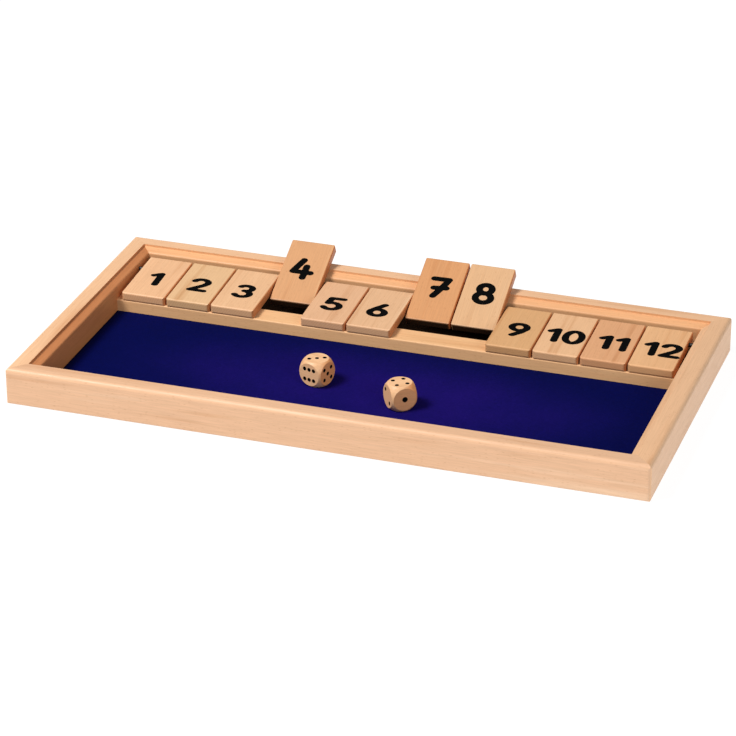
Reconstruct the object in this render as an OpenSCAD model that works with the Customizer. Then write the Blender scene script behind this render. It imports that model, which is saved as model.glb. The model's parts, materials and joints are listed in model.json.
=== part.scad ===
// Shut the box game: a shallow mitred wooden box with a felt dice tray, a row of twelve
// number tiles that flip on one steel rod, and two wooden dice.
// Millimetres. The origin is the middle of the underside, +X runs along the box to the
// right, +Y towards the back and +Z up.

/* [Box] */
// Depth of the box, front to back
box_depth = 180; // [150:1:240]
// Height of the box
box_height = 20; // [19:0.5:26]

/* [Rails] */
// Thickness of each rail, from its outer face to the wall of the tray
rail_width = 14; // [12:0.5:22]
// Width of the flat land on top of each rail
rim_width = 9.5; // [7:0.25:10.5]
// Radius of the rounded outer top edge
rim_round = 2.5; // [1:0.25:4]
// Radius of the easing on the bottom outer edge
foot_round = 0.8; // [0.3:0.1:1.5]
// Radius of the four upright corners of the box
corner_round = 1.8; // [0.5:0.1:3]
// Upright step from the rim down to the inner ledge
ledge_step = 1.2; // [0.6:0.1:2.5]
// Slope of the inner ledge, in degrees below level
ledge_slope = 22; // [10:1:40]
// Radius of the ledge's rounded nose
nose_round = 1.3; // [0.8:0.1:2.5]

/* [Floor] */
// Thickness of the dark hardboard base panel
base_thick = 2.4; // [1.8:0.1:4]
// Width of the rebate in the rails that takes the base panel
base_rebate = 6.5; // [5:0.5:8]
// Gap round the base panel in its rebate
base_gap = 0.2; // [0.1:0.05:0.5]
// Thickness of the felt mat
felt_thick = 0.6; // [0.4:0.1:1.5]
// Gap between the felt and the walls of the tray
felt_gap = 0.3; // [0.2:0.05:1]

/* [Tiles] */
// Width of one tile
tile_width = 25.2; // [20:0.1:32]
// Gap between two tiles
tile_gap = 0.8; // [0.4:0.1:1.5]
// Gap between the end tiles and the side rails
row_end_gap = 2.9; // [0.5:0.1:4]
// Length of a tile, front to back
tile_length = 44; // [40:0.5:54]
// Thickness of a tile
tile_thick = 5; // [4.6:0.1:6]
// Radius of a tile's four corners, seen from above
tile_corner = 1.6; // [0.5:0.1:3]
// Radius of the easing along a tile's front and back edges
tile_nose = 1; // [0.4:0.1:2]
// Radius of the easing along a tile's long edges
tile_ease = 0.7; // [0.3:0.1:1.5]
// Slope of the flat tiles down towards the tray, in degrees
tile_slope = 3.5; // [0:0.1:5]
// Gap between the back ends of the flat tiles and the back rail
tile_back_gap = 3.9; // [1:0.1:6]

/* [Pivot] */
// Diameter of the steel rod
rod_d = 2.2; // [1.6:0.1:3]
// Radial play of the tiles on the rod
rod_play = 0.08; // [0.02:0.01:0.1]
// Distance from a tile's back end to the middle of the rod
rod_inset = 10.6; // [9.4:0.1:10.9]
// Depth of the blind socket in each side rail
socket_depth = 7.5; // [4:0.5:9]
// Radial fit of the rod in its sockets
socket_fit = 0.03; // [0.01:0.01:0.1]
// Gap between each rod end and the bottom of its socket
rod_end_gap = 0.2; // [0.1:0.1:1]
// Clearance of a leaning tile over the edges of the back rail
lean_gap = 0.25; // [0.1:0.05:0.5]

/* [Bar] */
// Height of the bar's front face above the base panel
bar_height = 6.8; // [6.6:0.1:8]
// Depth of the bar, front to back
bar_depth = 12.5; // [8:0.5:15]
// How far the tiles' front ends stand out over the bar
tile_overhang = 0.3; // [-3:0.1:4]
// Radius of the easing on the bar's top edges
bar_ease = 0.8; // [0.3:0.1:2]

/* [Panel pins] */
// Diameter of a pin's shank
pin_d = 1.4; // [1:0.1:2]
// Length of a pin
pin_length = 8; // [6:0.5:8.5]
// Diameter of a pin's head
pin_head_d = 3; // [2:0.1:4]
// Thickness of a pin's head
pin_head_thick = 0.6; // [0.4:0.1:1]
// Depth of a pin's head below the underside
pin_sink = 0.2; // [0.1:0.05:0.5]
// Radial fit of a pin in its hole
pin_fit = 0.02; // [0.01:0.01:0.1]
// Pins in each long rail
pins_long = 5; // [3:1:7]
// Pins in each short rail
pins_short = 2; // [2:1:3]
// Pins in the bar
pins_bar = 3; // [2:1:5]
// Distance from the box's ends to the outermost pins
pin_margin = 38; // [30:1:50]

/* [Dice] */
// Edge length of a die
die_size = 14; // [12:0.5:16]
// Diameter of the ball that rounds a die's corners
die_ball = 18.8; // [16.5:0.1:22]
// Distance of the outer pips from the middle of a face
pip_pitch = 2.9; // [2:0.1:3.5]
// Diameter of a pip
pip_d = 2.2; // [1.5:0.1:2.6]
// Diameter of the single pip
single_pip_d = 3; // [2:0.1:4]
// Depth of a pip
pip_depth = 0.5; // [0.3:0.1:0.9]
// Place of the left die on the felt
left_die_at = [-24.5, -21.5];
// Turn of the left die about the vertical
left_die_turn = -18; // [-180:1:180]
// Place of the right die on the felt
right_die_at = [25.5, -34.5];
// Turn of the right die about the vertical
right_die_turn = 39; // [-180:1:180]

/* [Hidden] */
$fn = 64;

// The row has twelve tiles, and these three stand up
tile_count = 12;
raised_tiles = [4, 7, 8];

// A cutter reaches this far past the face that it cuts
past = 1;

// The box's length follows the tile row
tile_pitch = tile_width + tile_gap;
row_length = tile_count * tile_pitch - tile_gap;
inner_length = row_length + 2 * row_end_gap;
inner_depth = box_depth - 2 * rail_width;
box_length = inner_length + 2 * rail_width;

// Walls of the tray
front_wall_y = -inner_depth / 2;
back_wall_y = inner_depth / 2;

// Places along the depth, measured on the middle plane of the sloping tiles
tile_back_y = back_wall_y - tile_back_gap;
pivot_y = tile_back_y - rod_inset * cos(tile_slope);
tile_front_y = tile_back_y - tile_length * cos(tile_slope);
bar_front_y = tile_front_y + tile_overhang;
bar_middle_y = bar_front_y + bar_depth / 2;
tray_depth = bar_front_y - front_wall_y;

// Flat tiles lie on the bar, whose top has their slope, and all tiles turn about the rod
pivot_z = base_thick + bar_height + (pivot_y - bar_front_y) * tan(tile_slope)
    + tile_thick / 2 / cos(tile_slope);
rod_length = inner_length + 2 * (socket_depth - rod_end_gap);

// Middle of the nose arc, measured from a rail's outer face and from the underside
nose_u = rail_width - nose_round;
nose_z = box_height - ledge_step - (nose_u - rim_width) * tan(ledge_slope)
    - nose_round / cos(ledge_slope);

// A raised tile leans just clear of the back rail's nose and of its rim edge
function lean_over(y, z, r) =
    atan2(z - pivot_z, y - pivot_y)
    + asin((tile_thick / 2 + r + lean_gap) / norm([y - pivot_y, z - pivot_z]));
lean_angle = max(
    lean_over(back_wall_y + nose_round, nose_z, nose_round),
    lean_over(back_wall_y + rail_width - rim_width, box_height, 0));
raised_angle = 180 - lean_angle;
flip_angle = raised_angle + tile_slope;
echo(box_length = box_length, box_depth = box_depth, box_height = box_height);
echo(pivot_y = pivot_y, pivot_z = pivot_z, lean_angle = lean_angle, flip_angle = flip_angle);

// Centres of the pins in plan
function spread(count, reach) = [for (i = [0 : count - 1]) reach * (2 * i / (count - 1) - 1)];
pin_inset = rail_width - base_rebate / 2;
pins_long_x = spread(pins_long, box_length / 2 - pin_margin);
pins_short_y = spread(pins_short, box_depth / 2 - pin_margin);
pins_bar_x = spread(pins_bar, box_length / 2 - pin_margin);

// Pip places on a face, in steps of the pip pitch
corner_pair = [[-1, -1], [1, 1]];
other_pair = [[-1, 1], [1, -1]];
upright_pair = [[0, -1], [0, 1]];
function pip_places(n) = concat(
    n % 2 == 1 ? [[0, 0]] : [],
    n > 1 ? corner_pair : [],
    n > 3 ? other_pair : [],
    n == 6 ? upright_pair : []);

// Rectangle with round corners, its lower left corner at the origin
module round_rect(size, r) {
    translate([r, 0]) square([size.x - 2 * r, size.y]);
    translate([0, r]) square([size.x, size.y - 2 * r]);
    for (x = [r, size.x - r], y = [r, size.y - r])
        translate([x, y]) circle(r);
}

// Cutter that leaves a round edge of radius r at the origin, for stock in +X and -Y
module edge_cutter(r) {
    difference() {
        translate([-past, -r]) square([r + past, r + past]);
        translate([r, -r]) circle(r);
    }
}

// Section of the rail moulding: the outer face is at x = 0 and the underside at y = 0
module rail_section() {
    ledge_z = box_height - ledge_step;
    tangent = [nose_u + nose_round * sin(ledge_slope), nose_z + nose_round * cos(ledge_slope)];
    difference() {
        square([rail_width, box_height]);
        translate([0, box_height]) edge_cutter(rim_round);
        mirror([0, 1]) edge_cutter(foot_round);
        polygon([
            [rim_width, box_height + past], [rim_width, ledge_z], tangent, [nose_u, nose_z],
            [rail_width + past, nose_z], [rail_width + past, box_height + past]
        ]);
        translate([rail_width - base_rebate, -past]) square([base_rebate + past, base_thick + past]);
    }
    translate([nose_u, nose_z]) circle(nose_round);
}

// Rail along X with its outer face on y = 0, mitred at both ends
module mitred_rail(length) {
    intersection() {
        rotate([90, 0, 90]) translate([0, 0, -length / 2]) linear_extrude(length) rail_section();
        linear_extrude(box_height + past) difference() {
            polygon([
                [-length / 2, 0], [length / 2, 0],
                [length / 2 - rail_width, rail_width], [rail_width - length / 2, rail_width]
            ]);
            edge_cutter_at_corner(-length / 2, 1);
            edge_cutter_at_corner(length / 2, -1);
        }
    }
}

// Cutter for the upright corner round at one end of a rail, side is 1 at the left end
module edge_cutter_at_corner(x, side) {
    translate([x, 0]) mirror([side < 0 ? 1 : 0, 0]) mirror([0, 1]) edge_cutter(corner_round);
}

// Hole for a pin's shank
module pin_hole() {
    translate([0, 0, -past]) cylinder(d = pin_d + 2 * pin_fit, h = pin_sink + pin_length + past);
}

module long_rail() {
    difference() {
        mitred_rail(box_length);
        for (x = pins_long_x) translate([x, pin_inset, 0]) pin_hole();
    }
}

module short_rail() {
    difference() {
        mitred_rail(box_depth);
        for (y = pins_short_y) translate([y, pin_inset, 0]) pin_hole();
    }
}

// Blind socket for the rod, opening into the tray at the given wall, side is 1 for +X
module rod_socket(side) {
    translate([side * (inner_length / 2 - past), pivot_y, pivot_z])
        rotate([0, side * 90, 0])
            cylinder(d = rod_d + 2 * socket_fit, h = socket_depth + past);
}

module front_rail() {
    color("burlywood") translate([0, -box_depth / 2, 0]) long_rail();
}

module back_rail() {
    color("burlywood") rotate([0, 0, 180]) translate([0, -box_depth / 2, 0]) long_rail();
}

module left_rail() {
    color("burlywood") difference() {
        rotate([0, 0, -90]) translate([0, -box_length / 2, 0]) short_rail();
        rod_socket(-1);
    }
}

module right_rail() {
    color("burlywood") difference() {
        rotate([0, 0, 90]) translate([0, -box_length / 2, 0]) short_rail();
        rod_socket(1);
    }
}

// Runs its children at every pin's place
module at_pins() {
    for (x = pins_long_x, side = [-1, 1])
        translate([x, side * (box_depth / 2 - pin_inset), 0]) children();
    for (y = pins_short_y, side = [-1, 1])
        translate([side * (box_length / 2 - pin_inset), y, 0]) children();
    for (x = pins_bar_x) translate([x, bar_middle_y, 0]) children();
}

module base_panel() {
    size = [
        inner_length + 2 * (base_rebate - base_gap),
        inner_depth + 2 * (base_rebate - base_gap),
        base_thick
    ];
    color("saddlebrown") difference() {
        translate([-size.x / 2, -size.y / 2, 0]) cube(size);
        at_pins() {
            pin_hole();
            translate([0, 0, -past])
                cylinder(d = pin_head_d + 2 * pin_fit, h = past + pin_sink + pin_head_thick);
        }
    }
}

module panel_pins() {
    color("silver") at_pins() translate([0, 0, pin_sink]) {
        cylinder(d = pin_head_d, h = pin_head_thick);
        cylinder(d = pin_d, h = pin_length - pin_d);
        translate([0, 0, pin_length - pin_d]) cylinder(d1 = pin_d, d2 = pin_d / 4, h = pin_d);
    }
}

module felt_mat() {
    color("midnightblue")
        translate([felt_gap - inner_length / 2, front_wall_y + felt_gap, base_thick])
            cube([inner_length - 2 * felt_gap, tray_depth - 2 * felt_gap, felt_thick]);
}

// Section of the bar: its top slopes with the tiles, and both top edges are eased
module bar_section() {
    back_height = bar_height + bar_depth * tan(tile_slope);
    intersection() {
        square([bar_depth, back_height]);
        offset(bar_ease) offset(-bar_ease)
            polygon([[0, -bar_depth], [bar_depth, -bar_depth], [bar_depth, back_height], [0, bar_height]]);
    }
}

module tile_rest_bar() {
    color("burlywood") difference() {
        translate([-inner_length / 2, bar_front_y, base_thick])
            rotate([90, 0, 90]) linear_extrude(inner_length) bar_section();
        for (x = pins_bar_x) translate([x, bar_middle_y, 0]) pin_hole();
    }
}

module pivot_rod() {
    chamfer = rod_d / 10;
    color("lightgray") translate([-rod_length / 2, pivot_y, pivot_z]) rotate([0, 90, 0]) {
        cylinder(d1 = rod_d - 2 * chamfer, d2 = rod_d, h = chamfer);
        translate([0, 0, chamfer]) cylinder(d = rod_d, h = rod_length - 2 * chamfer);
        translate([0, 0, rod_length - chamfer])
            cylinder(d1 = rod_d, d2 = rod_d - 2 * chamfer, h = chamfer);
    }
}

// Level tile about the rod: its three sections meet, so every edge is eased
module level_tile() {
    translate([-tile_width / 2, rod_inset - tile_length, -tile_thick / 2]) intersection() {
        rotate([90, 0, 90]) linear_extrude(tile_width) difference() {
            round_rect([tile_length, tile_thick], tile_nose);
            translate([tile_length - rod_inset, tile_thick / 2]) circle(d = rod_d + 2 * rod_play);
        }
        linear_extrude(tile_thick) round_rect([tile_width, tile_length], tile_corner);
        translate([0, tile_length, 0]) rotate([90, 0, 0]) linear_extrude(tile_length)
            round_rect([tile_width, tile_thick], tile_ease);
    }
}

// One tile of the row in its place, down on the bar or flipped up
module number_tile(number) {
    x = (number - (tile_count + 1) / 2) * tile_pitch;
    turn = len(search(number, raised_tiles)) > 0 ? raised_angle : -tile_slope;
    color("wheat") translate([x, pivot_y, pivot_z]) rotate([-turn, 0, 0]) level_tile();
}

// Dimples for the number n on the top face of a die
module pips(n) {
    d = n == 1 ? single_pip_d : pip_d;
    ball_r = (d * d / 4 + pip_depth * pip_depth) / (2 * pip_depth);
    for (p = pip_places(n))
        translate([p.x * pip_pitch, p.y * pip_pitch, die_size / 2 + ball_r - pip_depth])
            sphere(ball_r);
}

// Die on the felt, opposite faces add up to seven
module die(at, turn, top, front, right) {
    translate([at.x, at.y, base_thick + felt_thick + die_size / 2])
        rotate([0, 0, turn]) difference() {
            intersection() {
                cube(die_size, center = true);
                sphere(d = die_ball);
            }
            pips(top);
            rotate([180, 0, 0]) pips(7 - top);
            rotate([90, 0, 0]) pips(front);
            rotate([-90, 0, 0]) pips(7 - front);
            rotate([0, 90, 0]) pips(right);
            rotate([0, -90, 0]) pips(7 - right);
        }
}

module left_die() {
    color("navajowhite") die(left_die_at, left_die_turn, 3, 6, 5);
}

module right_die() {
    color("navajowhite") die(right_die_at, right_die_turn, 4, 1, 5);
}

front_rail();
back_rail();
left_rail();
right_rail();
base_panel();
panel_pins();
felt_mat();
tile_rest_bar();
pivot_rod();
number_tile(1);  // number_tile_01
number_tile(2);  // number_tile_02
number_tile(3);  // number_tile_03
number_tile(4);  // number_tile_04
number_tile(5);  // number_tile_05
number_tile(6);  // number_tile_06
number_tile(7);  // number_tile_07
number_tile(8);  // number_tile_08
number_tile(9);  // number_tile_09
number_tile(10);  // number_tile_10
number_tile(11);  // number_tile_11
number_tile(12);  // number_tile_12
left_die();
right_die();
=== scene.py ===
import json
import math
import random

import bmesh
import bpy
from mathutils import Matrix, Vector
from mathutils.geometry import delaunay_2d_cdt


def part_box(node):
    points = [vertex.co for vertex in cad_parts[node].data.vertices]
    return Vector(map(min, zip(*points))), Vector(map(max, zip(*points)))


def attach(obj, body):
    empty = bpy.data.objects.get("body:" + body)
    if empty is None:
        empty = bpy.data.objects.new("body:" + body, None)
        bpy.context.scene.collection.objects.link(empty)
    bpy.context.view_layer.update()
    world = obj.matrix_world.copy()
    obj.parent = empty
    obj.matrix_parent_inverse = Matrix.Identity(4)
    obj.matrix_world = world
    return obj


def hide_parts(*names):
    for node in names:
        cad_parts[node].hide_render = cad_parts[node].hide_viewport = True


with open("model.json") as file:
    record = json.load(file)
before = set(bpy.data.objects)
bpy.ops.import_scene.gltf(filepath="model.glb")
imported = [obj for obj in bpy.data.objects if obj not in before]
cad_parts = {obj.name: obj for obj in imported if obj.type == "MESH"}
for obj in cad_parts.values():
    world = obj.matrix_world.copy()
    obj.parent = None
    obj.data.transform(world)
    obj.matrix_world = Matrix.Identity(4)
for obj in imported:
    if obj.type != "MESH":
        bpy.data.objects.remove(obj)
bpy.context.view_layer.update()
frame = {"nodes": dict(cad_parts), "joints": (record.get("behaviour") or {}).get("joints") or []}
MM = 0.001

# Camera at the photograph's viewing angle
CAMERA_AZIMUTH = 18.43
CAMERA_ELEVATION = 26.26
CAMERA_ROLL = -0.09
CAMERA_DISTANCE = 1.7138
CAMERA_TARGET = Vector((-0.0031, -0.0012, 0.0050))
CAMERA_LENS = 158.3

# Sizes of the tiles and dice, as the solids have them
TILE_THICK = 5 * MM
TILE_LENGTH = 44 * MM
ROD_INSET = 10.6 * MM
DIE_SIZE = 14 * MM
DIE_PIP_PITCH = 2.9 * MM
DIE_PIP_DEPTH = 0.5 * MM
DIE_PIP_D = 2.2 * MM
DIE_SINGLE_PIP_D = 3.0 * MM
DICE = {
    "left_die": {"turn": -18, "top": 3, "front": 6, "right": 5},
    "right_die": {"turn": 39, "top": 4, "front": 1, "right": 5},
}

# Printed numbers
DIGIT_WEIGHT = 0.20
DIGIT_SPACING = 0.06
DIGIT_SIZE = (20.0 * MM, 15.2 * MM)
DIGIT_FROM_FRONT = 19.9 * MM
PRINT_SHIFT = {
    1: -0.5 * MM, 4: -0.5 * MM, 5: -0.3 * MM, 6: -0.4 * MM, 7: 0.3 * MM,
    9: 0.3 * MM, 10: 0.4 * MM, 11: 0.5 * MM, 12: 1.5 * MM,
}
INK_ABOVE = 0.03 * MM
INK_BELOW = 0.03 * MM

# Fine detail of the wood edges, the painted shade on the tile ends by the rod and the felt
EDGE_BREAK = 0.12 * MM
PAINTED_END_SHADE_FADE = (0.7 * MM, 0.1 * MM)
FELT_STEP = 1.6 * MM
FELT_RIPPLE = 0.035 * MM
FELT_EDGE_DROP = 0.22 * MM

# Floor
FLOOR_HALF = 4.0
FLOOR_DROP = 0.3 * MM


# Camera, lights and floor

def place_camera():
    azimuth, elevation = math.radians(CAMERA_AZIMUTH), math.radians(CAMERA_ELEVATION)
    back = Vector((
        math.sin(azimuth) * math.cos(elevation),
        -math.cos(azimuth) * math.cos(elevation),
        math.sin(elevation),
    ))
    camera = bpy.data.objects.new("camera", bpy.data.cameras.new("camera"))
    bpy.context.scene.collection.objects.link(camera)
    camera.location = CAMERA_TARGET + back * CAMERA_DISTANCE
    aim = (-back).to_track_quat("-Z", "Y").to_matrix()
    camera.rotation_euler = (aim @ Matrix.Rotation(math.radians(CAMERA_ROLL), 3, "Z")).to_euler()
    camera.data.lens = CAMERA_LENS
    camera.data.sensor_width = 36
    camera.data.clip_start = 0.1
    camera.data.clip_end = 20
    bpy.context.scene.camera = camera


def area_light(name, place, aim, size, watts, colour):
    light = bpy.data.objects.new(name, bpy.data.lights.new(name, "AREA"))
    bpy.context.scene.collection.objects.link(light)
    light.data.shape = "DISK"
    light.data.size = size
    light.data.energy = watts
    light.data.color = colour
    light.location = place
    light.rotation_euler = (Vector(aim) - Vector(place)).to_track_quat("-Z", "Y").to_euler()


def light_studio():
    scene = bpy.context.scene
    scene.view_settings.view_transform = "Standard"
    world = bpy.data.worlds.new("studio")
    world.use_nodes = True
    background = world.node_tree.nodes["Background"]
    background.inputs["Color"].default_value = (0.93, 0.97, 1.0, 1)
    background.inputs["Strength"].default_value = 0.28
    scene.world = world
    area_light("key", (-0.77, -0.61, 1.39), (0, 0, 0), 0.6, 29, (1.0, 0.985, 0.96))
    area_light("fill", (1.42, -1.04, 0.70), (0, 0, 0), 1.0, 12, (0.92, 0.97, 1.0))


def lay_floor():
    mesh = bpy.data.meshes.new("floor")
    corners = [(-1, -1), (1, -1), (1, 1), (-1, 1)]
    mesh.from_pydata([(x * FLOOR_HALF, y * FLOOR_HALF, -FLOOR_DROP) for x, y in corners], [], [(0, 1, 2, 3)])
    floor = bpy.data.objects.new("floor", mesh)
    bpy.context.scene.collection.objects.link(floor)
    material = bpy.data.materials.new("pale_floor")
    material.use_nodes = True
    shader = material.node_tree.nodes["Principled BSDF"]
    shader.inputs["Base Color"].default_value = (0.15, 0.15, 0.15, 1)
    shader.inputs["Roughness"].default_value = 0.9
    shader.inputs["Specular IOR Level"].default_value = 0.1
    shader.inputs["Emission Color"].default_value = (1, 1, 1, 1)
    shader.inputs["Emission Strength"].default_value = 0.92
    mesh.materials.append(material)


# Materials

class Graph:
    """Short names for building one material's nodes."""

    def __init__(self, name):
        self.material = bpy.data.materials.new(name)
        self.material.use_nodes = True
        self.tree = self.material.node_tree
        self.shader = self.tree.nodes["Principled BSDF"]

    def node(self, kind, **settings):
        made = self.tree.nodes.new(kind)
        for key, value in settings.items():
            setattr(made, key, value)
        return made

    def link(self, source, target):
        self.tree.links.new(source, target)

    def coordinates(self, turn=(0, 0, 0), shift=(0, 0, 0), scale=(1, 1, 1)):
        """Place on the piece in metres, turned and stretched: shift and turn come before scale."""
        source = self.node("ShaderNodeTexCoord").outputs["Object"]
        placed = self.node("ShaderNodeMapping", vector_type="POINT")
        placed.inputs["Location"].default_value = shift
        placed.inputs["Rotation"].default_value = turn
        self.link(source, placed.inputs["Vector"])
        stretched = self.node("ShaderNodeVectorMath", operation="MULTIPLY")
        stretched.inputs[1].default_value = scale
        self.link(placed.outputs["Vector"], stretched.inputs[0])
        return stretched.outputs[0]

    def noise(self, vector, scale=1.0, detail=2.0, roughness=0.5, distortion=0.0):
        made = self.node("ShaderNodeTexNoise")
        made.inputs["Scale"].default_value = scale
        made.inputs["Detail"].default_value = detail
        made.inputs["Roughness"].default_value = roughness
        made.inputs["Distortion"].default_value = distortion
        self.link(vector, made.inputs["Vector"])
        return made.outputs["Fac"]

    def ramp(self, value, stops, smooth=False):
        made = self.node("ShaderNodeValToRGB")
        if smooth:
            made.color_ramp.interpolation = "EASE"
        elements = made.color_ramp.elements
        while len(elements) < len(stops):
            elements.new(0.5)
        for element, (position, colour) in zip(elements, stops):
            element.position = position
            element.color = (*colour, 1) if len(colour) == 3 else colour
        self.link(value, made.inputs["Fac"])
        return made.outputs["Color"]

    def range(self, value, low, high, to_low=0.0, to_high=1.0):
        made = self.node("ShaderNodeMapRange", clamp=True)
        for name, number in (("From Min", low), ("From Max", high), ("To Min", to_low), ("To Max", to_high)):
            made.inputs[name].default_value = number
        self.link(value, made.inputs["Value"])
        return made.outputs["Result"]

    def math(self, operation, a, b=None):
        made = self.node("ShaderNodeMath", operation=operation)
        for socket, value in zip(made.inputs, (a, b)):
            if value is None:
                continue
            if isinstance(value, (int, float)):
                socket.default_value = value
            else:
                self.link(value, socket)
        return made.outputs[0]

    def dot(self, vector, direction):
        made = self.node("ShaderNodeVectorMath", operation="DOT_PRODUCT")
        self.link(vector, made.inputs[0])
        made.inputs[1].default_value = direction
        return made.outputs["Value"]

    def mix(self, share, a, b, blend="MIX"):
        made = self.node("ShaderNodeMix", data_type="RGBA", blend_type=blend)
        for name, value in (("Factor", share), ("A", a), ("B", b)):
            fits = [s for s in made.inputs if s.name == name and (name == "Factor" or s.type == "RGBA")]
            socket = fits[0]
            if isinstance(value, (int, float)):
                socket.default_value = value
            elif isinstance(value, tuple):
                socket.default_value = (*value, 1)
            else:
                self.link(value, socket)
        return next(s for s in made.outputs if s.type == "RGBA")

    def bump(self, height, distance, strength=1.0):
        made = self.node("ShaderNodeBump")
        made.inputs["Strength"].default_value = strength
        made.inputs["Distance"].default_value = distance
        self.link(height, made.inputs["Height"])
        self.link(made.outputs["Normal"], self.shader.inputs["Normal"])


def shade(colour, factor):
    return tuple(min(1.0, c * f) for c, f in zip(colour, factor))


def beech(name, turn, seed, tone=(1, 1, 1), streak=1.0, painted_side_shade=None, painted_end_shade=None):
    """Pale beech. turn brings the grain on to X; seed moves the figure; tone multiplies the colour;
    the side-shade argument is a direction, the tint of painted shade on the sides that face it, and how far
    they face it to take it;
    the end-shade argument is a distance and the direction it is measured in, past which the wood is painted
    near-black as shade."""
    light, middle, dark = (0.88, 0.56, 0.31), (0.80, 0.46, 0.235), (0.66, 0.33, 0.145)
    g = Graph(name)
    random.seed(seed)
    shift = tuple(random.uniform(-3, 3) for _ in range(3))

    def along(x, across):
        return g.coordinates(turn, shift, (x, across, across))

    drift = g.noise(along(9, 45), detail=2)
    bands = g.noise(along(7, 210), detail=4, roughness=0.55, distortion=0.25)
    fibres = g.noise(along(70, 1900), detail=3, roughness=0.6)
    figure = g.math("ADD", g.math("MULTIPLY", bands, 0.62 * streak), g.math("MULTIPLY", drift, 0.38))
    colour = g.ramp(figure, [
        (0.30, shade(dark, tone)), (0.44, shade(middle, tone)),
        (0.56, shade(middle, tone)), (0.72, shade(light, tone)),
    ])
    fine = g.range(fibres, 0.32, 0.68, 0.86, 1.10)
    combined = g.node("ShaderNodeCombineColor")
    for socket in combined.inputs:
        g.link(fine, socket)
    colour = g.mix(0.55, colour, combined.outputs[0], "MULTIPLY")

    fleck_cells = g.node("ShaderNodeTexVoronoi", feature="F1", distance="EUCLIDEAN")
    fleck_cells.inputs["Scale"].default_value = 1.0
    fleck_cells.inputs["Randomness"].default_value = 1.0
    g.link(along(330, 1250), fleck_cells.inputs["Vector"])
    chosen = g.node("ShaderNodeSeparateColor")
    g.link(fleck_cells.outputs["Color"], chosen.inputs[0])
    fleck = g.math("MULTIPLY",
                   g.range(fleck_cells.outputs["Distance"], 0.30, 0.12),
                   g.range(chosen.outputs[0], 0.45, 0.75))
    colour = g.mix(g.math("MULTIPLY", fleck, 0.34), colour, shade((0.46, 0.19, 0.07), tone))

    # End grain shows where the surface faces along the grain
    normal = g.node("ShaderNodeTexCoord").outputs["Normal"]
    turned = g.node("ShaderNodeMapping", vector_type="NORMAL")
    turned.inputs["Rotation"].default_value = turn
    g.link(normal, turned.inputs["Vector"])
    parts = g.node("ShaderNodeSeparateXYZ")
    g.link(turned.outputs[0], parts.inputs[0])
    facing = g.range(g.math("ABSOLUTE", parts.outputs[0]), 0.55, 0.85)
    rings = g.node("ShaderNodeTexWave", wave_type="RINGS", rings_direction="X", wave_profile="SIN")
    rings.inputs["Scale"].default_value = 1.0
    rings.inputs["Distortion"].default_value = 1.2
    rings.inputs["Detail"].default_value = 2.0
    g.link(g.coordinates(turn, (0, 0.05, 0.07 + 0.01 * (seed % 5)), (60, 260, 260)), rings.inputs["Vector"])
    pores = g.noise(along(2600, 2600), detail=1)
    ringed = g.math("ADD", g.math("MULTIPLY", rings.outputs["Fac"], 0.2), g.math("MULTIPLY", pores, 0.8))
    end_colour = g.ramp(ringed, [
        (0.30, shade((0.70, 0.37, 0.17), tone)), (0.55, shade((0.78, 0.44, 0.22), tone)),
        (0.80, shade(middle, tone)),
    ])
    colour = g.mix(facing, colour, end_colour)
    # Painted shade: sides that face the given direction are multiplied by a darker, warmer tint, as if in
    # shade.
    if painted_side_shade:
        towards, tint, start, end = painted_side_shade
        side_shaded_colour = g.mix(1.0, colour, tint, "MULTIPLY")
        colour = g.mix(g.range(g.dot(normal, towards), start, end), colour, side_shaded_colour)
    # Painted shade: past the given distance the wood turns near-black, standing in for the shade at the tile
    # end by the rod.
    if painted_end_shade:
        (reach, aim), fade = painted_end_shade, PAINTED_END_SHADE_FADE
        end_shade_share = g.range(g.dot(g.coordinates(), aim), reach - fade[0], reach - fade[1])
        colour = g.mix(end_shade_share, colour, (0.035, 0.015, 0.006))
    g.link(colour, g.shader.inputs["Base Color"])

    g.link(g.range(fibres, 0.3, 0.7, 0.50, 0.38), g.shader.inputs["Roughness"])
    g.shader.inputs["Specular IOR Level"].default_value = 0.35
    height = g.math("SUBTRACT", g.math("MULTIPLY", fibres, 0.6), g.math("MULTIPLY", fleck, 0.5))
    g.bump(height, 0.00006, 0.6)
    return g.material


def hardboard_material():
    g = Graph("dark_hardboard_and_slot_shade")
    pressed = g.noise(g.coordinates(), scale=420, detail=5, roughness=0.7)
    chips = g.noise(g.coordinates((0, 0, 0.6), scale=(500, 1500, 900)), detail=3, distortion=1.5)
    mottle = g.math("ADD", g.math("MULTIPLY", pressed, 0.5), g.math("MULTIPLY", chips, 0.5))
    # Near-black brown board; its dark colour also stands in for the deep shade in the slot under the tiles.
    g.link(g.ramp(mottle, [
        (0.35, (0.016, 0.008, 0.004)), (0.55, (0.028, 0.014, 0.007)), (0.75, (0.050, 0.026, 0.013)),
    ]), g.shader.inputs["Base Color"])
    g.link(g.range(mottle, 0.3, 0.7, 0.75, 0.55), g.shader.inputs["Roughness"])
    g.shader.inputs["Specular IOR Level"].default_value = 0.2
    g.bump(mottle, 0.00008, 0.5)
    return g.material


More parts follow.
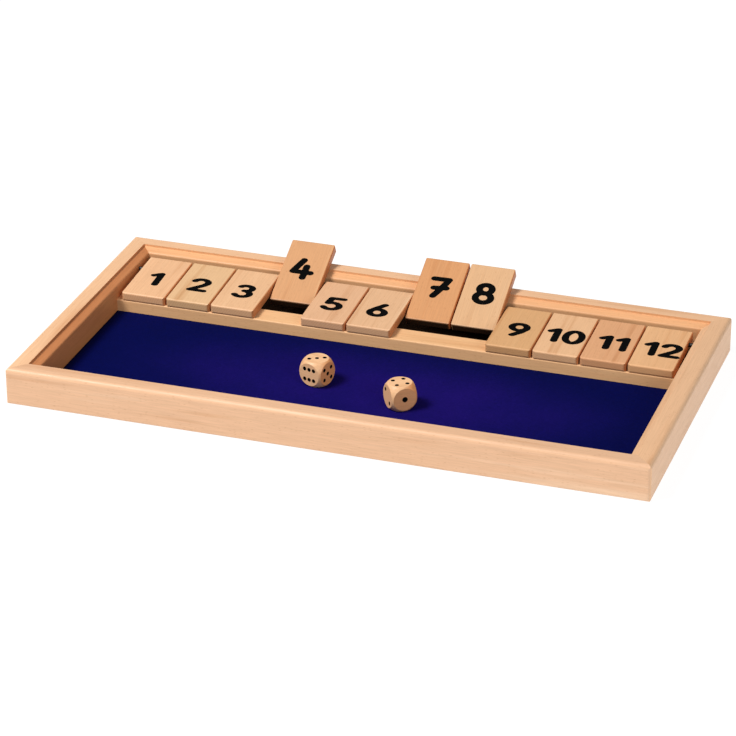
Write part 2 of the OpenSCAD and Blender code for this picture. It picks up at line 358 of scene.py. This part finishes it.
def felt_material():
    g = Graph("blue_felt")
    matted = g.noise(g.coordinates(scale=(1, 1, 1)), scale=900, detail=4, roughness=0.65, distortion=1.6)
    cloudy = g.noise(g.coordinates(scale=(1, 1, 1)), scale=26, detail=3, roughness=0.6)
    fibres = g.noise(g.coordinates((0, 0, 0.5), scale=(260, 2400, 1000)), detail=2, distortion=2.2)
    crossing = g.noise(g.coordinates((0, 0, -0.9), scale=(260, 2400, 1000)), detail=2, distortion=2.2)
    strands = g.math("MAXIMUM", fibres, crossing)
    nap = g.math("ADD", g.math("MULTIPLY", matted, 0.5), g.math("MULTIPLY", strands, 0.5))
    colour = g.ramp(nap, [
        (0.30, (0.0015, 0.0014, 0.034)), (0.55, (0.0040, 0.0030, 0.078)), (0.80, (0.0090, 0.0070, 0.140)),
    ])
    tint = g.ramp(cloudy, [(0.3, (0.80, 0.95, 0.92)), (0.7, (1.25, 1.0, 1.08))])
    colour = g.mix(1.0, colour, tint, "MULTIPLY")
    # Painted light and shade: the felt is lighter and more purple in the middle and darker towards its edges
    # by the walls.
    spread = g.node("ShaderNodeVectorMath", operation="LENGTH")
    g.link(g.coordinates(shift=(-0.01, 0.024, 0), scale=(6.3, 17, 0)), spread.inputs[0])
    painted_light_falloff = g.ramp(spread.outputs["Value"],
                  [(0.25, (1.9, 1.15, 1.35)), (1.0, (0.20, 0.75, 0.72))], smooth=True)
    colour = g.mix(1.0, colour, painted_light_falloff, "MULTIPLY")
    g.link(colour, g.shader.inputs["Base Color"])
    g.shader.inputs["Roughness"].default_value = 0.95
    g.shader.inputs["Specular IOR Level"].default_value = 0.03
    g.shader.inputs["Sheen Weight"].default_value = 0.02
    g.shader.inputs["Sheen Roughness"].default_value = 0.5
    g.shader.inputs["Sheen Tint"].default_value = (0.12, 0.16, 0.9, 1)
    g.bump(nap, 0.0003, 0.7)
    return g.material


def ink_material():
    g = Graph("black_ink")
    blotch = g.noise(g.coordinates(), scale=700, detail=3)
    black = g.ramp(blotch, [(0.3, (0.001, 0.001, 0.001)), (0.8, (0.003, 0.003, 0.003))])
    g.link(black, g.shader.inputs["Base Color"])
    g.link(g.range(blotch, 0.3, 0.7, 0.70, 0.85), g.shader.inputs["Roughness"])
    g.shader.inputs["Specular IOR Level"].default_value = 0.04
    g.bump(blotch, 0.00002, 0.5)
    return g.material


def steel_material(name, grey):
    g = Graph(name)
    lines = g.noise(g.coordinates(scale=(30, 4000, 4000)), detail=2)
    colour = g.ramp(lines, [(0.3, (grey * 0.82,) * 3), (0.7, (grey, grey, grey * 1.02))])
    g.link(colour, g.shader.inputs["Base Color"])
    g.shader.inputs["Metallic"].default_value = 1.0
    g.link(g.range(lines, 0.3, 0.7, 0.42, 0.56), g.shader.inputs["Roughness"])
    g.bump(lines, 0.00001, 0.5)
    return g.material


def dress(node, material):
    """Gives a CAD node its material."""
    mesh = frame["nodes"][node].data
    mesh.materials.clear()
    mesh.materials.append(material)


def soften_edges(node, width):
    """Breaks the sharp edges of a CAD node."""
    bevel = frame["nodes"][node].modifiers.new("eased_edges", "BEVEL")
    bevel.width = width
    bevel.segments = 2
    bevel.limit_method = "ANGLE"
    bevel.angle_limit = math.radians(35)


# Number tiles

def tile_joint(number):
    return next(j for j in frame["joints"] if j["child"] == f"tile_{number:02d}")


def tile_turn(number):
    """How far the tile has turned up from level at rest, in radians, read off its widest face."""
    faces = frame["nodes"][f"number_tile_{number:02d}"].data.polygons
    normal = max(faces, key=lambda face: face.area).normal
    flipped = tile_joint(number)["range_deg"][0] < 0
    return math.atan(normal.y / normal.z) + (math.pi if flipped else 0)


def tile_matrix(number):
    """From a level tile about the origin to the tile's place at rest."""
    return Matrix.Translation(tile_joint(number)["pos_m"]) @ Matrix.Rotation(-tile_turn(number), 4, "X")


TILE_TONES = {
    1: (0.96, 0.96, 1.03), 2: (0.90, 0.97, 1.01), 3: (0.94, 0.96, 1.03), 4: (0.77, 0.68, 0.62),
    5: (0.90, 0.90, 1.00), 6: (0.90, 0.92, 1.00), 7: (0.77, 0.63, 0.52), 8: (0.83, 0.85, 0.88),
    9: (0.83, 0.79, 0.70), 10: (0.96, 0.98, 1.04), 11: (0.87, 0.77, 0.75), 12: (0.94, 0.91, 0.88),
}


def line(*points):
    return [Vector(p) for p in points]


def arc(x, y, across, up, start, end, steps=24):
    angles = [math.radians(start + (end - start) * i / steps) for i in range(steps + 1)]
    return [Vector((x + across * math.cos(a), y + up * math.sin(a))) for a in angles]


# Middle lines of the strokes of each digit, in a cell one high
DIGITS = {
    "0": [arc(0.30, 0.50, 0.215, 0.41, 0, 360, 40)],
    "1": [line((0.10, 0.745), (0.29, 0.90)), line((0.29, 0.90), (0.30, 0.09))],
    "2": [arc(0.29, 0.70, 0.20, 0.205, 165, -25) + line((0.42, 0.50), (0.11, 0.10)),
          line((0.11, 0.10), (0.51, 0.10))],
    "3": [arc(0.28, 0.715, 0.185, 0.19, 150, -85), arc(0.27, 0.31, 0.215, 0.22, 85, -150)],
    "4": [line((0.30, 0.90), (0.09, 0.34)), line((0.09, 0.34), (0.60, 0.34)),
          line((0.44, 0.62), (0.42, 0.09))],
    "5": [line((0.50, 0.895), (0.17, 0.88)), line((0.17, 0.88), (0.13, 0.53)),
          arc(0.27, 0.325, 0.225, 0.235, 125, -150)],
    "6": [line((0.40, 0.91), (0.21, 0.60), (0.105, 0.38)), arc(0.30, 0.32, 0.205, 0.225, 0, 360, 40)],
    "7": [line((0.09, 0.88), (0.51, 0.89)), line((0.51, 0.89), (0.38, 0.50), (0.20, 0.09)),
          line((0.16, 0.46), (0.50, 0.50))],
    "8": [arc(0.30, 0.705, 0.175, 0.195, 0, 360, 40), arc(0.30, 0.305, 0.215, 0.215, 0, 360, 40)],
    "9": [arc(0.30, 0.68, 0.205, 0.225, 0, 360, 40), line((0.505, 0.62), (0.40, 0.36), (0.21, 0.09))],
}


def stroke_outlines(stroke, weight):
    """Round spots on a stroke's points and bands between them, which together cover the stroke."""
    half = weight / 2
    for point in stroke:
        angles = [math.tau * i / 20 for i in range(20)]
        yield [point + half * Vector((math.cos(a), math.sin(a))) for a in angles]
    for a, b in zip(stroke, stroke[1:]):
        side = (b - a).orthogonal().normalized() * half
        yield [a + side, a - side, b - side, b + side]


def number_mesh(name, text, size):
    """Flat print of a number, centred on the origin. size is the width and height of a cell."""
    points, faces = [], []
    pen = 0
    for digit in text:
        strokes = DIGITS[digit]
        left = min(p.x for stroke in strokes for p in stroke) - DIGIT_WEIGHT / 2
        right = max(p.x for stroke in strokes for p in stroke) + DIGIT_WEIGHT / 2
        offset = Vector((pen - left, -0.5))
        for stroke in strokes:
            for outline in stroke_outlines([p + offset for p in stroke], DIGIT_WEIGHT):
                faces.append(list(range(len(points), len(points) + len(outline))))
                points += outline
        pen += right - left + DIGIT_SPACING
    middle = (pen - DIGIT_SPACING) / 2
    flat, _, triangles, _, _, sources = delaunay_2d_cdt(points, [], faces, 1, 1e-5)
    inked = [list(t) for t, source in zip(triangles, sources) if source]
    mesh = bpy.data.meshes.new(name)
    mesh.from_pydata([((p.x - middle) * size[0], p.y * size[1], 0) for p in flat], [], inked)
    bm = bmesh.new()
    bm.from_mesh(mesh)
    bmesh.ops.dissolve_limit(bm, angle_limit=math.radians(1), verts=bm.verts, edges=bm.edges)
    bmesh.ops.recalc_face_normals(bm, faces=bm.faces)
    if sum(f.normal.z * f.calc_area() for f in bm.faces) < 0:
        bmesh.ops.reverse_faces(bm, faces=bm.faces)
    raised = bmesh.ops.extrude_face_region(bm, geom=bm.faces[:])
    lifted = [v for v in raised["geom"] if isinstance(v, bmesh.types.BMVert)]
    bmesh.ops.translate(bm, verts=lifted, vec=(0, 0, INK_ABOVE))
    bmesh.ops.translate(bm, verts=[v for v in bm.verts if v not in set(lifted)], vec=(0, 0, -INK_BELOW))
    bmesh.ops.recalc_face_normals(bm, faces=bm.faces)
    bm.to_mesh(mesh)
    bm.free()
    return mesh


def print_numbers(ink):
    middle = DIGIT_FROM_FRONT - (TILE_LENGTH - ROD_INSET)
    turned_over = Matrix.Rotation(math.pi, 4, "X")
    for number in range(1, 13):
        shift = PRINT_SHIFT.get(number, 0)
        faces = {
            "top": Matrix.Translation((shift, middle, TILE_THICK / 2)),
            "under": Matrix.Translation((shift, middle, -TILE_THICK / 2)) @ turned_over,
        }
        for side, place in faces.items():
            name = f"number_{number:02d}_{side}"
            piece = bpy.data.objects.new(name, number_mesh(name, str(number), DIGIT_SIZE))
            bpy.context.scene.collection.objects.link(piece)
            piece.data.transform(tile_matrix(number) @ place)
            piece.data.materials.append(ink)
            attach(piece, f"tile_{number:02d}")


# Dice

def pip_places(count):
    corners, others, upright = [(-1, -1), (1, 1)], [(-1, 1), (1, -1)], [(0, -1), (0, 1)]
    places = [(0, 0)] if count % 2 else []
    places += corners if count > 1 else []
    places += others if count > 3 else []
    return places + (upright if count == 6 else [])


def add_pip(bm, matrix, diameter):
    """Painted hollow: a thin dished shell that lines a dimple."""
    ball = (diameter ** 2 / 4 + DIE_PIP_DEPTH ** 2) / (2 * DIE_PIP_DEPTH)
    widest = math.acos((ball - DIE_PIP_DEPTH) / ball)
    centre = DIE_SIZE / 2 + ball - DIE_PIP_DEPTH
    rings, spokes = 5, 20
    layers = []
    for radius in (ball - INK_ABOVE, ball + INK_BELOW):
        rows = [[bm.verts.new(matrix @ Vector((0, 0, centre - radius)))]]
        for ring in range(1, rings + 1):
            tilt = widest * ring / rings
            rows.append([
                bm.verts.new(matrix @ Vector((
                    radius * math.sin(tilt) * math.cos(a),
                    radius * math.sin(tilt) * math.sin(a),
                    centre - radius * math.cos(tilt),
                ))) for a in (math.tau * k / spokes for k in range(spokes))
            ])
        layers.append(rows)
    for rows, flipped in ((layers[0], False), (layers[1], True)):
        for ring in range(rings):
            for k in range(spokes):
                after = (k + 1) % spokes
                inner = [rows[0][0]] if ring == 0 else [rows[ring][k], rows[ring][after]]
                face = [*reversed(inner), rows[ring + 1][k], rows[ring + 1][after]]
                bm.faces.new(reversed(face) if flipped else face)
    top, bottom = layers[0][-1], layers[1][-1]
    for k in range(spokes):
        after = (k + 1) % spokes
        bm.faces.new([top[k], bottom[k], bottom[after], top[after]])


def paint_pips(ink):
    for node, die in DICE.items():
        low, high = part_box(node)
        place = Matrix.Translation((low + high) / 2) @ Matrix.Rotation(math.radians(die["turn"]), 4, "Z")
        sides = [
            (die["top"], Matrix.Identity(4)),
            (7 - die["top"], Matrix.Rotation(math.pi, 4, "X")),
            (die["front"], Matrix.Rotation(math.pi / 2, 4, "X")),
            (7 - die["front"], Matrix.Rotation(-math.pi / 2, 4, "X")),
            (die["right"], Matrix.Rotation(math.pi / 2, 4, "Y")),
            (7 - die["right"], Matrix.Rotation(-math.pi / 2, 4, "Y")),
        ]
        bm = bmesh.new()
        for count, side in sides:
            for x, y in pip_places(count):
                spot = Matrix.Translation((x * DIE_PIP_PITCH, y * DIE_PIP_PITCH, 0))
                add_pip(bm, place @ side @ spot, DIE_SINGLE_PIP_D if count == 1 else DIE_PIP_D)
        bmesh.ops.recalc_face_normals(bm, faces=bm.faces)
        mesh = bpy.data.meshes.new(f"{node}_pips")
        bm.to_mesh(mesh)
        bm.free()
        for polygon in mesh.polygons:
            polygon.use_smooth = True
        piece = bpy.data.objects.new(f"{node}_pips", mesh)
        bpy.context.scene.collection.objects.link(piece)
        mesh.materials.append(ink)
        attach(piece, f"{node}_loose")


# Felt mat

def lay_felt(material):
    """A soft mat with a faintly uneven surface and rounded cut edges, in place of the plain solid."""
    low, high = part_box("felt_mat")
    size = high - low
    columns, rows = round(size.x / FELT_STEP), round(size.y / FELT_STEP)
    random.seed(7)
    bm = bmesh.new()
    top = []
    for j in range(rows + 1):
        row = []
        for i in range(columns + 1):
            edge = min(i, columns - i, j, rows - j)
            x, y = low.x + size.x * i / columns, low.y + size.y * j / rows
            lift = random.uniform(-FELT_RIPPLE, 0.0)
            if edge == 0:
                lift -= FELT_EDGE_DROP
            row.append(bm.verts.new((x, y, high.z + lift)))
        top.append(row)
    for j in range(rows):
        for i in range(columns):
            bm.faces.new([top[j][i], top[j][i + 1], top[j + 1][i + 1], top[j + 1][i]])
    ring = [top[0][i] for i in range(columns)] + [top[j][columns] for j in range(rows)]
    ring += [top[rows][i] for i in range(columns, 0, -1)] + [top[j][0] for j in range(rows, 0, -1)]
    bottom = [bm.verts.new((v.co.x, v.co.y, low.z)) for v in ring]
    for k in range(len(ring)):
        after = (k + 1) % len(ring)
        bm.faces.new([ring[after], ring[k], bottom[k], bottom[after]])
    bm.faces.new(reversed(bottom))
    mesh = bpy.data.meshes.new("felt_cloth")
    bm.to_mesh(mesh)
    bm.free()
    for polygon in mesh.polygons:
        polygon.use_smooth = abs(polygon.normal.z) > 0.5
    felt = bpy.data.objects.new("felt_cloth", mesh)
    bpy.context.scene.collection.objects.link(felt)
    mesh.materials.append(material)
    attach(felt, "box")
    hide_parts("felt_mat")


def dress_frame():
    across = (0, 0, -math.pi / 2)
    for node in ("front_rail", "back_rail", "left_rail", "right_rail", "tile_rest_bar", "base_panel"):
        soften_edges(node, EDGE_BREAK)
    dress("front_rail", beech("beech_front_rail", (0, 0, 0), 11, (0.90, 0.93, 1.09)))
    # Painted shade: the back rail's faces that face the front and the left rail's inner wall, which faces
    # right, take a darker tint.
    dress("back_rail", beech("beech_back_rail", (0, 0, 0), 12, (1.02, 1.06, 1.20),
                            painted_side_shade=((0, -1, 0), (0.93, 0.80, 0.66), 0.05, 0.35)))
    dress("left_rail", beech("beech_left_rail", across, 13, (1.00, 1.03, 1.14),
                            painted_side_shade=((1, 0, 0), (0.68, 0.43, 0.27), 0.05, 0.36)))
    dress("right_rail", beech("beech_right_rail", across, 14, (0.96, 0.99, 1.10)))
    dress("tile_rest_bar", beech("beech_rest_bar", (0, 0, 0), 15, (0.99, 0.98, 0.94)))
    dress("base_panel", hardboard_material())
    dress("panel_pins", steel_material("pin_steel", 0.30))
    dress("pivot_rod", steel_material("rod_steel", 0.06))


def dress_tiles():
    for number, tone in TILE_TONES.items():
        turn = (tile_turn(number), 0, -math.pi / 2)
        place = tile_matrix(number)
        aim = (place.to_3x3() @ Vector((0, 1, 0))).normalized()
        reach = (place @ Vector((0, ROD_INSET, 0))).dot(aim)
        # Painted shade: the right-facing sides of each tile take a dark orange tint, and the end by the rod
        # is painted near-black.
        dress(f"number_tile_{number:02d}",
              beech(f"beech_tile_{number:02d}", turn, 20 + number, tone,
                    painted_side_shade=((1, 0, 0), (0.80, 0.50, 0.32), 0.10, 0.60), painted_end_shade=(reach, aim)))


def dress_dice():
    for seed, (node, die) in enumerate(DICE.items()):
        turn = (0, 0, -math.radians(die["turn"]))
        # Painted shade: the right-facing sides of each die take a darker orange tint.
        dress(node, beech(f"beech_{node}", turn, 50 + seed, (1.06, 1.08, 1.14), 0.8,
                         painted_side_shade=((1, 0, 0), (0.95, 0.68, 0.48), 0.35, 0.75)))


place_camera()
light_studio()
lay_floor()
dress_frame()
dress_tiles()
dress_dice()
black = ink_material()
print_numbers(black)
paint_pips(black)
lay_felt(felt_material())
